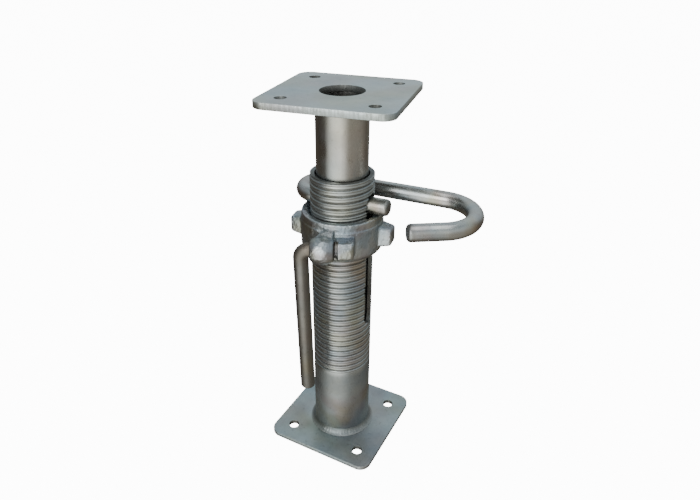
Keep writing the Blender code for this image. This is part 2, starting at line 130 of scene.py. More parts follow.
# Collar nut.
NUT_FOOT, NUT_TOP = (corner.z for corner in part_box("collar_nut"))
NUT_RADIUS = 39.45 * MM
NUT_TURN = math.radians(-82.7)
NUT_FOOT_ROUND = 5.5 * MM
NUT_FOOT_RISE = 6.5 * MM
NUT_BAND_HEIGHT = 7 * MM
NUT_BAND_STEP = 1 * MM
NUT_TOP_EDGE = 0.8 * MM
NUT_COUNTERSINK = 3.2 * MM
CAST_GRAIN = 0.62 * MM
LUG_ANGLES = [math.radians(degrees) for degrees in (24.0, 92.5, 204.0, 272.5)]
LUG_ROOT = 35.0 * MM
LUG_ROOT_SIZE = (20.5 * MM, 21.5 * MM)
LUG_END_SIZE = (15.5 * MM, 16.5 * MM)
LUG_MIDDLE = NUT_TOP - 20.95 * MM
LUG_END = 50.65 * MM
LUG_ROUND = 2.6 * MM
BOSS_RADIAL = 49.55 * MM
BOSS_TURN = math.radians(16)
BOSS_LENGTH = 21.3 * MM
BOSS_RADIUS = 13.3 * MM
BOSS_END_RADIUS = 10.2 * MM
BOSS_HEIGHT = NUT_TOP - 20.5 * MM
BOSS_EDGE = 1 * MM
BOSS_PILOT_RADIUS = 0.5 * MM
BOSS_FLAT_AIM = Vector((0.94, -0.34, -0.12)).normalized()
BOSS_FLAT_DEPTH = 0.6 * MM
# The neck is sunk in the ring, and its top edge reaches further on the far side.
NECK_SUNK = 4.2 * MM
NECK_TOP_DROP = 2.5 * MM
NECK_TOP_NEAR = 1.0 * MM
NECK_TOP_FAR = 6.5 * MM
NECK_SHARE = 0.8

# Handle.
HANDLE_RADIUS = 7.15 * MM
HANDLE_BEND_RADIUS = 7.9 * MM
HANDLE_BEND_ANGLE = math.radians(91)
HANDLE_BEND_GAP = 0.8 * MM
HANDLE_LENGTH = 157.5 * MM
HANDLE_BORE_GAP = 0.5 * MM
HANDLE_HEAD_THICKNESS = 3 * MM
HANDLE_HEAD_FLARE = 1.2 * MM
HANDLE_HEAD_SHARE = 1.19
# The handle's rounded foot, as for the pin's ends.
HANDLE_FOOT_SHARES = ((2.0, 1.0), (1.3, 0.98), (0.4, 0.87), (0.0, 0.74))

# Plates.
PLATE_SIZE = 120 * MM
PLATE_CORNER = 12 * MM
BOLT_SPACING = 80 * MM
BOLT_HOLE_RADIUS = 5.25 * MM
HEAD_HOLE_RADIUS = 19.95 * MM
HEAD_TURN = math.radians(10.3)
PLATE_EDGE = 0.45 * MM
HOLE_WALL_REACH = 0.2 * MM

# Welds.
WELD_LEG = 5 * MM
WELD_COLUMNS = 360
WELD_ROWS = 16
WELD_RIPPLES = 61.0
# How much of the face is straight rather than sagging, and how much taller than wide it is.
WELD_FLAT_SHARE = 0.35
WELD_HEIGHT_SHARE = 1.15

# Points on a ring's seam that lie closer than this are joined.
SEAM_REACH = 0.002 * MM

# Camera, fitted to the photograph.
CAMERA_AZIMUTH = math.radians(28.55)
CAMERA_DISTANCE = 498.33 * MM
CAMERA_HEIGHT = 497.76 * MM
CAMERA_PITCH = math.radians(29.0)
CAMERA_YAW = math.radians(0.879)
CAMERA_ROLL = math.radians(0.489)
CAMERA_LENS = 29.904

# Floor and lights. Each light has its place in the photograph's frame, width, height and power.
FLOOR_HALF_SIZE = 15
FLOOR_DROP = 0.05 * MM
FLOOR_GLOW = 12.0
LIGHT_AIM = (0, 0, 0.2)
LIGHT_COLOUR = (0.97, 0.99, 1.0)
LIGHTS = {
    "top_light": ((0, -0.4, 3.2), 2.6, 2.6, 40),
    "key_light": ((-0.75, -1.15, 0.95), 0.7, 0.9, 9),
}


# Node trees.


class Tree:
    """Adds nodes to a node tree and joins them, with plain numbers set on sockets directly."""

    def __init__(self, tree):
        self.tree = tree
        self.column = 0

    def add(self, kind, inputs=None, **settings):
        node = self.tree.nodes.new(kind)
        self.column += 1
        node.location = (self.column * 180, 0)
        for name, value in settings.items():
            setattr(node, name, value)
        for key, value in (inputs or {}).items():
            self.put(value, node.inputs[key])
        return node

    def put(self, value, socket):
        if isinstance(value, bpy.types.NodeSocket):
            self.tree.links.new(value, socket)
        elif isinstance(value, bpy.types.Node):
            self.tree.links.new(value.outputs[0], socket)
        else:
            socket.default_value = value

    def math(self, operation, a, b=None, clamp=False):
        values = {0: a} if b is None else {0: a, 1: b}
        return self.add("ShaderNodeMath", values, operation=operation, use_clamp=clamp).outputs[0]

    def times(self, a, b):
        return self.math("MULTIPLY", a, b)

    def plus(self, a, b):
        return self.math("ADD", a, b)

    def minus(self, a, b):
        return self.math("SUBTRACT", a, b)

    def vector(self, operation, a, b):
        return self.add("ShaderNodeVectorMath", {0: a, 1: b}, operation=operation)

    def noise(self, place, scale, detail):
        return self.add("ShaderNodeTexNoise", {"Vector": place, "Scale": scale, "Detail": detail})

    def place(self):
        """Where the shaded point is on its object."""
        return self.add("ShaderNodeTexCoord").outputs["Object"]

    def ramp(self, value, low, high):
        """A smooth step from 0 to 1 as value goes from low to high."""
        inputs = {0: value, 1: low, 2: high, 3: 0.0, 4: 1.0}
        return self.add("ShaderNodeMapRange", inputs, interpolation_type="SMOOTHSTEP").outputs[0]

    def mix(self, factor, a, b, blend="MIX"):
        node = self.add("ShaderNodeMix", data_type="RGBA", blend_type=blend)
        self.put(factor, node.inputs[0])
        self.put(a, node.inputs[6])
        self.put(b, node.inputs[7])
        return node.outputs[2]


def node_group(name, inputs, outputs, kind="ShaderNodeTree"):
    """An empty node group with the named sockets. Returns it with its input and output nodes."""
    group = bpy.data.node_groups.new(name, kind)
    for socket, socket_type, default in inputs:
        made = group.interface.new_socket(socket, in_out="INPUT", socket_type=socket_type)
        if default is not None:
            made.default_value = default
    for socket, socket_type in outputs:
        group.interface.new_socket(socket, in_out="OUTPUT", socket_type=socket_type)
    tree = Tree(group)
    return group, tree, tree.add("NodeGroupInput"), tree.add("NodeGroupOutput")


def geometry_group(name, inputs):
    """A geometry node group with a Geometry input and output and further named inputs."""
    geometry = ("Geometry", "NodeSocketGeometry")
    return node_group(name, [(*geometry, None), *inputs], [geometry], "GeometryNodeTree")


FLOAT, COLOUR, VECTOR = "NodeSocketFloat", "NodeSocketColor", "NodeSocketVector"
INT, MATERIAL = "NodeSocketInt", "NodeSocketMaterial"


def make_grain_group():
    """Fine pits and soft blotches of a plated surface."""
    group, tree, given, out = node_group(
        "plating_grain",
        [("Grain Scale", FLOAT, 900.0), ("Blotch Scale", FLOAT, 45.0)],
        [("Grain", FLOAT), ("Blotch", FLOAT), ("Speck", FLOAT)],
    )
    place = tree.place()
    grain = tree.noise(place, given.outputs[0], 3.0)
    blotch = tree.noise(place, given.outputs[1], 5.0)
    blotch.inputs["Roughness"].default_value = 0.62
    speck = tree.noise(place, 260.0, 2.0)
    tree.put(grain, out.inputs["Grain"])
    tree.put(tree.ramp(blotch.outputs[0], 0.3, 0.72), out.inputs["Blotch"])
    tree.put(tree.ramp(speck.outputs[0], 0.62, 0.74), out.inputs["Speck"])
    return group


def make_streak_group():
    """Streaks drawn out along one direction, as on a drawn tube or a sheared edge."""
    group, tree, given, out = node_group(
        "drawn_streaks",
        [("Stretch", VECTOR, (500.0, 500.0, 6.0)), ("Detail", FLOAT, 4.0)],
        [("Streak", FLOAT), ("Band", FLOAT)],
    )
    place = tree.place()
    fine = tree.vector("MULTIPLY", place, given.outputs[0])
    streak = tree.noise(fine, 1.0, given.outputs[1])
    wide = tree.vector("MULTIPLY", fine, (0.14, 0.14, 0.5))
    band = tree.noise(wide, 1.0, 2.0)
    tree.put(streak, out.inputs["Streak"])
    tree.put(tree.ramp(band.outputs[0], 0.35, 0.66), out.inputs["Band"])
    return group


def make_tint_group():
    """Zinc's faint passivation tints: bluish, yellowish and pinkish areas over a base colour."""
    group, tree, given, out = node_group(
        "plating_tint",
        [("Base", COLOUR, (0.6, 0.62, 0.61, 1)), ("Amount", FLOAT, 0.5), ("Scale", FLOAT, 16.0)],
        [("Colour", COLOUR)],
    )
    place = tree.place()
    colour = given.outputs["Base"]
    tints = ((0.0, (0.70, 0.79, 0.90, 1)), (7.3, (0.93, 0.86, 0.66, 1)), (13.1, (0.90, 0.76, 0.76, 1)))
    for shift, tint in tints:
        moved = tree.vector("ADD", place, (shift, shift, shift))
        noise = tree.noise(moved, given.outputs[2], 2.0)
        mask = tree.times(tree.ramp(noise.outputs[0], 0.46, 0.7), given.outputs["Amount"])
        colour = tree.mix(mask, colour, tint, "MULTIPLY")
    tree.put(colour, out.inputs["Colour"])
    return group


def make_dust_group():
    """Dust that settles on faces that look up, thicker in blotches."""
    group, tree, given, out = node_group("settled_dust", [("Amount", FLOAT, 0.3)], [("Mask", FLOAT)])
    geometry = tree.add("ShaderNodeNewGeometry")
    up = tree.add("ShaderNodeSeparateXYZ", {0: geometry.outputs["Normal"]}).outputs[2]
    place = tree.place()
    noise = tree.noise(place, 70.0, 6.0)
    mask = tree.times(tree.ramp(up, 0.3, 1.0), tree.ramp(noise.outputs[0], 0.35, 0.75))
    tree.put(tree.times(mask, given.outputs[0]), out.inputs["Mask"])
    return group


GRAIN = make_grain_group()
STREAK = make_streak_group()
TINT = make_tint_group()
DUST = make_dust_group()


def new_material(name):
    """A material with its tree helper and its Principled shader."""
    material = bpy.data.materials.new(name)
    material.use_nodes = True
    return material, Tree(material.node_tree), material.node_tree.nodes["Principled BSDF"]


# Colours of what lies on the plating or shows through it, and of painted shade and highlight.
BLOTCH_COLOUR = (0.45, 0.46, 0.46, 1)
SPECK_COLOUR = (0.5, 0.47, 0.42, 1)
DRAWN_COLOUR = (0.66, 0.60, 0.50, 1)
TORN_COLOUR = (0.50, 0.49, 0.45, 1)
PLAIN_FOOT_COLOUR = (0.66, 0.67, 0.68, 1)
# Near black: dirt in hollows, and the painted shade there.
DIRT_AND_SHADE_COLOUR = (0.10, 0.095, 0.085, 1)
# Pale: worn edges, and the painted highlight on them.
WEAR_AND_HIGHLIGHT_COLOUR = (0.82, 0.83, 0.82, 1)
DUST_COLOUR = (0.50, 0.48, 0.44, 1)

# How fine the streaks of drawing and of tearing are along X, Y and Z.
DRAWN_STRETCH = (420.0, 420.0, 5.0)
TORN_STRETCH = (520.0, 520.0, 70.0)
GRAIN_HEIGHT = 0.3 * MM


class Coat:
    """The colour, roughness and height of a coat of zinc, which each layer changes in turn."""

    def __init__(self, tree, colour, rough, height):
        self.tree = tree
        self.colour = colour
        self.rough = rough
        self.height = height

    def tone(self, mask, amount, colour):
        """Tones the colour down by another one."""
        factor = self.tree.times(mask, amount)
        self.colour = self.tree.mix(factor, self.colour, colour, "MULTIPLY")

    def cover(self, mask, colour):
        """Covers the colour with another one."""
        self.colour = self.tree.mix(mask, self.colour, colour)

    def roughen(self, mask, amount):
        self.rough = self.tree.plus(self.rough, self.tree.times(mask, amount))

    def lift(self, mask, amount):
        self.height = self.tree.plus(self.height, self.tree.times(mask, amount))


def draw_streaks(coat, bump):
    """The marks of drawing along a tube."""
    drawn = coat.tree.add("ShaderNodeGroup", {"Stretch": DRAWN_STRETCH}, node_tree=STREAK)
    coat.tone(drawn.outputs["Band"], 0.3, DRAWN_COLOUR)
    coat.roughen(coat.tree.minus(drawn.outputs["Streak"], 0.5), 0.18)
    coat.lift(drawn.outputs["Streak"], bump)


def tear_sides(coat):
    """The torn streaks of a sheared plate's upright sides."""
    tree = coat.tree
    normal = tree.add("ShaderNodeNewGeometry").outputs["Normal"]
    up = tree.add("ShaderNodeSeparateXYZ", {0: normal}).outputs[2]
    side = tree.ramp(tree.math("ABSOLUTE", up), 0.6, 0.2)
    torn = tree.add("ShaderNodeGroup", {"Stretch": TORN_STRETCH}, node_tree=STREAK)
    rip = tree.times(side, tree.ramp(torn.outputs["Streak"], 0.42, 0.62))
    coat.tone(rip, 0.35, TORN_COLOUR)
    coat.roughen(rip, 0.12)
    coat.lift(rip, -0.3)


def thread_root(coat):
    """Dulls the plain foot below the thread, and gives a mask of the thread's root."""
    tree = coat.tree
    place = tree.add("ShaderNodeSeparateXYZ", {0: tree.place()})
    squares = [tree.math("POWER", place.outputs[axis], 2.0) for axis in (0, 1)]
    radius = tree.math("SQRT", tree.plus(*squares))
    plain = tree.ramp(place.outputs[2], THREAD_FOOT + 3 * MM, THREAD_FOOT - 3 * MM)
    coat.tone(plain, 0.75, PLAIN_FOOT_COLOUR)
    coat.roughen(plain, 0.14)
    return tree.ramp(radius, OUTER_RADIUS - 0.15 * MM, OUTER_RADIUS - THREAD_DEPTH)


def settle_dirt_and_shade(coat, blotch, dirt_and_shade, thread):
    """Dark dirt and painted shade where the attribute 'recess' marks it, or in the thread's root."""
    tree = coat.tree
    if thread:
        recess = thread_root(coat)
    else:
        recess = tree.add("ShaderNodeAttribute", attribute_name="recess").outputs["Fac"]
    patchy = tree.plus(tree.times(blotch, 0.4), 0.6)
    # The dark cover is partly dirt and partly painted shade in the hollows.
    mask = tree.math("MULTIPLY", tree.times(recess, patchy), dirt_and_shade, clamp=True)
    coat.cover(mask, DIRT_AND_SHADE_COLOUR)
    coat.roughen(mask, 0.25)


def wear_and_highlight_edges(coat, grain):
    """Edges that the attribute 'edge' marks, made bright and smooth: partly wear, partly a painted
    highlight.
    """
    tree = coat.tree
    edge = tree.add("ShaderNodeAttribute", attribute_name="edge").outputs["Fac"]
    worn_and_lit = tree.times(edge, tree.ramp(grain, 0.3, 0.6))
    coat.cover(tree.times(worn_and_lit, 0.55), WEAR_AND_HIGHLIGHT_COLOUR)
    coat.roughen(worn_and_lit, -0.12)


def zinc(name, base, roughness, tint=0.5, tint_scale=16.0, dirt_and_shade=0.0, dust=0.05, grain_bump=0.12,
         grain_scale=900.0, blotch_scale=45.0, streak_bump=0.0, lumps=0.0, thread=False, sheared=False):
    """Zinc-plated steel, built up from its tinted base to the dust that lies on top."""
    material, tree, shader = new_material(name)
    scales = {"Grain Scale": grain_scale, "Blotch Scale": blotch_scale}
    grain = tree.add("ShaderNodeGroup", scales, node_tree=GRAIN)
    blotch = grain.outputs["Blotch"]
    tints = {"Base": (*base, 1), "Amount": tint, "Scale": tint_scale}
    tinted = tree.add("ShaderNodeGroup", tints, node_tree=TINT).outputs[0]
    coat = Coat(tree, tinted, roughness - 0.05, grain.outputs["Grain"])
    coat.tone(blotch, 0.22, BLOTCH_COLOUR)
    coat.tone(grain.outputs["Speck"], 0.35, SPECK_COLOUR)
    coat.roughen(blotch, 0.14)
    if lumps:
        coat.lift(tree.noise(tree.place(), 210.0, 3.0), lumps)
    if streak_bump:
        draw_streaks(coat, streak_bump)
    if sheared:
        tear_sides(coat)
    # Dirt and painted shade in the hollows.
    if dirt_and_shade:
        settle_dirt_and_shade(coat, blotch, dirt_and_shade, thread)
    # Worn edges, with a painted highlight.
    wear_and_highlight_edges(coat, grain.outputs["Grain"])
    settled = tree.add("ShaderNodeGroup", {0: dust}, node_tree=DUST).outputs[0]
    coat.cover(settled, DUST_COLOUR)
    metallic = tree.minus(1.0, tree.times(settled, 0.8))
    rough = tree.math("ADD", coat.rough, tree.times(settled, 0.3), clamp=True)
    bumps = {"Strength": grain_bump, "Distance": GRAIN_HEIGHT, "Height": coat.height}
    bump = tree.add("ShaderNodeBump", bumps)
    tree.put(coat.colour, shader.inputs["Base Color"])
    tree.put(metallic, shader.inputs["Metallic"])
    tree.put(rough, shader.inputs["Roughness"])
    tree.put(bump, shader.inputs["Normal"])
    return material


# Meshes.


def new_object(name, data):
    obj = bpy.data.objects.new(name, data)
    bpy.context.scene.collection.objects.link(obj)
    return obj


def shade(mesh, angle):
    """Shades a mesh smooth apart from edges sharper than the angle, in degrees."""
    mesh.shade_smooth()
    mesh.set_sharp_from_angle(angle=math.radians(angle))


def from_bmesh(name, bm):
    """Turns a bmesh into an object with its faces pointing out."""
    bmesh.ops.recalc_face_normals(bm, faces=bm.faces)
    mesh = bpy.data.meshes.new(name)
    bm.to_mesh(mesh)
    bm.free()
    shade(mesh, 32)
    return new_object(name, mesh)


def bake(obj, name=None):
    """Replaces an object by the mesh that its modifiers make of it."""
    graph = bpy.context.evaluated_depsgraph_get()
    mesh = bpy.data.meshes.new_from_object(obj.evaluated_get(graph))
    mesh.transform(obj.matrix_world)
    label = name or obj.name
    bpy.data.objects.remove(obj, do_unlink=True)
    return new_object(label, mesh)


def cut_out(target, cutter):
    """Cuts the cutter out of the target, and removes it."""
    modifier = target.modifiers.new("cut", "BOOLEAN")
    modifier.operation = "DIFFERENCE"
    modifier.solver = "EXACT"
    modifier.object = cutter
    made = bake(target)
    bpy.data.objects.remove(cutter, do_unlink=True)
    return made


def joined(name, objects):
    """One object that holds the meshes of several, which are removed."""
    bm = bmesh.new()
    for obj in objects:
        bm.from_mesh(obj.data)
        bpy.data.objects.remove(obj, do_unlink=True)
    return from_bmesh(name, bm)


def give_material(obj, material):
    obj.data.materials.clear()
    obj.data.materials.append(material)


def turned(profile, steps):
    """A closed profile of (radius, height) points, turned round Z."""
    bm = bmesh.new()
    verts = [bm.verts.new((radius, 0, height)) for radius, height in profile]
    edges = [bm.edges.new((verts[i - 1], verts[i])) for i in range(len(verts))]
    bmesh.ops.spin(bm, geom=verts + edges, axis=(0, 0, 1), angle=2 * math.pi, steps=steps, use_merge=True)
    return bm


def cylinder(bm, radius, start, end, steps):
    """Adds a cylinder between two points."""
    start, end = Vector(start), Vector(end)
    along = end - start
    place = Matrix.Translation((start + end) / 2) @ along.to_track_quat("Z", "Y").to_matrix().to_4x4()
    bmesh.ops.create_cone(bm, cap_ends=True, segments=steps, radius1=radius, radius2=radius,
                          depth=along.length, matrix=place)


def loft(loops):
    """A closed form through loops with the same number of points."""
    bm = bmesh.new()
    rings = [[bm.verts.new(point) for point in loop] for loop in loops]
    for lower, upper in zip(rings, rings[1:]):
        for i in range(len(lower)):
            bm.faces.new((lower[i - 1], lower[i], upper[i], upper[i - 1]))
    bm.faces.new(reversed(rings[0]))
    bm.faces.new(rings[-1])
    return bm


def direction(angle):
    """The level direction at an angle from +X."""
    return Vector((math.cos(angle), math.sin(angle), 0))


def read(items, name, width, kind=float):
    """A property of a mesh's vertices or edges, as rows of the given width."""
    values = np.empty(len(items) * width, kind)
    items.foreach_get(name, values)
    return values.reshape(-1, width)


def mark_edges(obj, rounds, gain):
    """Stores how far each vertex stands out ('edge') or lies in a hollow ('recess'), from 0 to 1."""
    mesh = obj.data
    count = len(mesh.vertices)
    points = read(mesh.vertices, "co", 3)
    normals = read(mesh.vertices, "normal", 3)
    ends = read(mesh.edges, "vertices", 2, int)
    both = np.concatenate((ends, ends[:, ::-1]))
    step = points[both[:, 1]] - points[both[:, 0]]
    length = np.maximum(np.linalg.norm(step, axis=1), 1e-7)
    bend = np.einsum("ij,ij->i", step / length[:, None], normals[both[:, 0]])
    near = np.maximum(np.bincount(both[:, 0], minlength=count), 1)
    value = np.bincount(both[:, 0], bend, minlength=count) / near
    for _ in range(rounds):
        value = 0.5 * value + 0.5 * np.bincount(both[:, 0], value[both[:, 1]], minlength=count) / near
    for name, side in (("edge", -1), ("recess", 1)):
        stored = mesh.attributes.new(name, "FLOAT", "POINT")
        stored.data.foreach_set("value", np.clip(side * value * gain, 0, 1).astype(np.float32))


def close_tree(tree, geometry, material, out):
    """Every tree ends by realizing its instances and setting its material."""
    real = tree.add("GeometryNodeRealizeInstances", {0: geometry})
    done = tree.add("GeometryNodeSetMaterial", {0: real, 2: material})
    tree.put(done, out.inputs[0])


def run_tree(obj, group, values, name):
    """Runs a geometry node group on an object with the given input values, and bakes the result."""
    modifier = obj.modifiers.new("nodes", "NODES")
    modifier.node_group = group
    for item in group.interface.items_tree:
        if item.item_type == "SOCKET" and item.in_out == "INPUT" and item.name in values:
            modifier[item.identifier] = values[item.name]
    obj.update_tag()
    bpy.context.view_layer.update()
    return bake(obj, name)


def run_alone(group, values, name):
    """Runs a geometry node group that takes no mesh in, and bakes the result."""
    return run_tree(new_object(name, bpy.data.meshes.new(name)), group, values, name)


def ring_grid(tree, value):
    """A grid whose columns go round a ring, with each point's row and its share of the turn."""
    m, times, minus = tree.math, tree.times, tree.minus
    grid = tree.add("GeometryNodeMeshGrid", {0: 1.0, 1: 1.0, 2: value["Columns"], 3: value["Rows"]})
    index = tree.add("GeometryNodeInputIndex").outputs[0]
    column = m("FLOOR", m("DIVIDE", index, value["Rows"]))
    row = minus(index, times(column, value["Rows"]))
    around = m("DIVIDE", column, minus(value["Columns"], 1.0))
    return grid, row, around


def close_ring(tree, grid, angle, radius, height, material, out):
    """Moves the grid's points to their places on the ring, joins its seams and closes the tree."""
    x, y = (tree.times(radius, tree.math(part, angle)) for part in ("COSINE", "SINE"))
    place = tree.add("ShaderNodeCombineXYZ", {0: x, 1: y, 2: height})
    moved = tree.add("GeometryNodeSetPosition", {0: grid, 2: place})
    merged = tree.add("GeometryNodeMergeByDistance", {0: moved, "Distance": SEAM_REACH})
    close_tree(tree, merged, material, out)


def bar_tree():
    """A round bar swept along a path curve, its thickness following the curve's radius."""
    inputs = [("Radius", FLOAT, 0.007), ("Sides", INT, 40), ("Material", MATERIAL, None)]
    group, tree, given, out = geometry_group("bar_along_path", inputs)
    section = {0: given.outputs["Sides"], 4: given.outputs["Radius"]}
    circle = tree.add("GeometryNodeCurvePrimitiveCircle", section)
    share = tree.add("GeometryNodeInputRadius")
    path = {"Curve": given.outputs[0], "Profile Curve": circle, "Scale": share, "Fill Caps": True}
    swept = tree.add("GeometryNodeCurveToMesh", path)
    close_tree(tree, swept, given.outputs["Material"], out)
    return group


def thread_depth(tree, phase):
    """How deep the thread is at a share of the pitch, as a share of its full depth."""
    node = tree.add("ShaderNodeFloatCurve", {1: phase})
    curve = node.mapping.curves[0]
    curve.points[0].location = THREAD_SHARES[0]
    curve.points[1].location = THREAD_SHARES[-1]
    for along, depth in THREAD_SHARES[1:-1]:
        curve.points.new(along, depth)
    node.mapping.update()
    return node.outputs[0]


def thread_tree():
    """A tube with a rolled outside thread: a grid whose rows climb one pitch in each turn.

    Row 0 is the outer foot, the last three rows are the inner rim, the inner foot and the outer foot.
    """
    inputs = [
        ("Rows", INT, 100), ("Columns", INT, 100), ("Rows per Turn", FLOAT, 14.0), ("Pitch", FLOAT, 0.006),
        ("Depth", FLOAT, 0.001), ("Fade Turns", FLOAT, 1.0), ("Radius", FLOAT, 0.03), ("Bore", FLOAT, 0.025),
        ("Foot", FLOAT, 0.0), ("Thread Foot", FLOAT, 0.1), ("Rim", FLOAT, 0.3), ("Material", MATERIAL, None),
    ]
    group, tree, given, out = geometry_group("rolled_thread", inputs)
    value = given.outputs
    m, times, plus, minus = tree.math, tree.times, tree.plus, tree.minus
    grid, row, around = ring_grid(tree, value)
    last = minus(value["Rows"], 1.0)
    turns = m("DIVIDE", minus(row, 1.0), value["Rows per Turn"])
    rise = times(value["Pitch"], plus(turns, minus(around, 2.0)))
    least = minus(value["Thread Foot"], value["Pitch"])
    climbing = m("MINIMUM", m("MAXIMUM", plus(value["Thread Foot"], rise), least), value["Rim"])
    is_first = m("LESS_THAN", row, 0.5)
    is_last = m("GREATER_THAN", row, minus(last, 0.5))
    is_before_last = minus(1.0, is_last)
    is_inner_foot = times(m("GREATER_THAN", row, minus(last, 1.5)), is_before_last)
    is_inner = times(m("GREATER_THAN", row, minus(last, 2.5)), is_before_last)
    at_foot = m("MAXIMUM", m("MAXIMUM", is_first, is_last), is_inner_foot)
    height = plus(times(minus(1.0, at_foot), climbing), times(at_foot, value["Foot"]))
    run = m("DIVIDE", minus(height, value["Thread Foot"]), value["Pitch"])
    phase = m("FRACT", plus(minus(run, around), 100.0))
    fade = tree.ramp(run, 0.1, value["Fade Turns"])
    cut = times(times(thread_depth(tree, phase), fade), value["Depth"])
    outer = minus(value["Radius"], times(cut, minus(1.0, at_foot)))
    radius = plus(times(minus(1.0, is_inner), outer), times(is_inner, value["Bore"]))
    angle = times(around, 2 * math.pi)
    close_ring(tree, grid, angle, radius, height, value["Material"], out)
    return group


def weld_tree():
    """A fillet weld round a tube: a grid bent to a ring, its face sagging a little and rippled unevenly.

    The last two rows are the root, where tube and plate meet, and the first row again.
    """
    inputs = [
        ("Columns", INT, 300), ("Rows", INT, 14), ("Radius", FLOAT, 0.03), ("Leg", FLOAT, 0.005),
        ("Up", FLOAT, 1.0), ("Seat", FLOAT, 0.0), ("Ripples", FLOAT, 60.0), ("Seed", FLOAT, 0.0),
        ("Material", MATERIAL, None),
    ]
    group, tree, given, out = geometry_group("weld_fillet", inputs)
    value = given.outputs
    m, times, plus, minus = tree.math, tree.times, tree.plus, tree.minus
    grid, row, around = ring_grid(tree, value)
    angle = times(around, 2 * math.pi)
    face_rows = minus(value["Rows"], 3.0)
    past_root = plus(face_rows, 1.5)
    is_root = times(m("GREATER_THAN", row, plus(face_rows, 0.5)), m("LESS_THAN", row, past_root))
    is_closing = m("GREATER_THAN", row, past_root)
    share = times(m("MINIMUM", m("DIVIDE", row, face_rows), 1.0), minus(1.0, is_closing))
    ring = tree.add("ShaderNodeCombineXYZ", {0: m("COSINE", angle), 1: m("SINE", angle), 2: value["Seed"]})
    slow = tree.noise(ring, 1.7, 2.0).outputs[0]
    quick = tree.noise(ring, 9.0, 2.0).outputs[0]
    leg = times(value["Leg"], plus(0.82, times(slow, 0.36)))
    belly = m("SINE", times(share, math.pi))
    wander = plus(times(quick, 1.2), times(belly, 0.35))
    phase = plus(times(around, value["Ripples"]), wander)
    strength = times(belly, times(quick, 0.17 * MM))
    ripple = times(m("SINE", times(phase, 2 * math.pi)), strength)
    lump = times(minus(slow, 0.5), times(belly, 0.9 * MM))
    swell = times(plus(ripple, lump), math.sqrt(0.5))
    bend = times(share, math.pi / 2)
    sagged = times(minus(1.0, m("COSINE", bend)), 1.0 - WELD_FLAT_SHARE)
    out_share = plus(sagged, times(share, WELD_FLAT_SHARE))
    across = plus(swell, times(leg, out_share))
    sunk = times(minus(1.0, m("SINE", bend)), 1.0 - WELD_FLAT_SHARE)
    up_share = plus(sunk, times(minus(1.0, share), WELD_FLAT_SHARE))
    height = plus(swell, times(times(leg, WELD_HEIGHT_SHARE), up_share))
    kept = minus(1.0, is_root)
    radius = plus(value["Radius"], times(across, kept))
    z = plus(value["Seat"], times(times(height, kept), value["Up"]))
    close_ring(tree, grid, angle, radius, z, value["Material"], out)
    return group


BAR_TREE = bar_tree()
THREAD_TREE = thread_tree()
WELD_TREE = weld_tree()


def path_curve(name, points, shares):
    """A poly curve through the points, its radius at each point given as a share."""
    curve = bpy.data.curves.new(name, "CURVE")
    curve.dimensions = "3D"
    spline = curve.splines.new("POLY")
    spline.points.add(len(points) - 1)
    for target, point, share in zip(spline.points, points, shares):
        target.co = (*point, 1)
        target.radius = share
    return new_object(name, curve)


def arc(centre, radius, start, sweep, steps):
    """Points along an arc, without the point where it starts."""
    angles = [start + sweep * (step + 1) / steps for step in range(steps)]
    return [centre + Vector((math.cos(angle), math.sin(angle))) * radius for angle in angles]


def finish_piece(obj, node, material):
    """Gives a finished piece its material and puts it in place of a CAD node."""
    give_material(obj, material)
    body = frame["nodes"][node]["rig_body"]
    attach(obj, body)
    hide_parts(node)


# The prop's pieces.


def stadium(half_width, foot, top, reach, steps=24):
    """A flat bar along X with round ends, for cutting the two slots."""
    outline = []
    for centre, start in ((top - half_width, 0), (foot + half_width, math.pi)):
        for step in range(steps + 1):
            angle = start + math.pi * step / steps
            outline.append((half_width * math.cos(angle), centre + half_width * math.sin(angle)))
    loops = [[Vector((end, across, height)) for across, height in outline] for end in (-reach, reach)]
    return from_bmesh("slots", loft(loops))


def thread_values(radius, bore, foot, thread_foot, rim, fade):
    """The thread tree's input values for a tube that carries the prop's thread."""
    turns = math.ceil((rim - thread_foot) / THREAD_PITCH + 3)
    return {
        "Rows": turns * THREAD_ROWS_PER_TURN + 4, "Columns": THREAD_COLUMNS + 1,
        "Rows per Turn": float(THREAD_ROWS_PER_TURN), "Pitch": THREAD_PITCH, "Depth": THREAD_DEPTH,
        "Fade Turns": fade, "Radius": radius, "Bore": bore,
        "Foot": foot, "Thread Foot": thread_foot, "Rim": rim,
    }


def make_outer_tube(material):
    """The tube with the rolled thread and two opposite slots."""
    heights = TUBE_FOOT, THREAD_FOOT, TUBE_RIM
    values = thread_values(OUTER_RADIUS, OUTER_BORE_RADIUS, *heights, THREAD_FADE_TURNS)
    tube = run_alone(THREAD_TREE, values | {"Material": material}, "rolled_tube")
    cutter = stadium(SLOT_HALF_WIDTH, SLOT_FOOT, SLOT_TOP, OUTER_RADIUS + CUTTER_OVERRUN)
    cutter.data.transform(Matrix.Rotation(PIN_TURN, 4, "Z"))
    tube = cut_out(tube, cutter)
    shade(tube.data, 50)
    finish_piece(tube, "outer_tube", material)


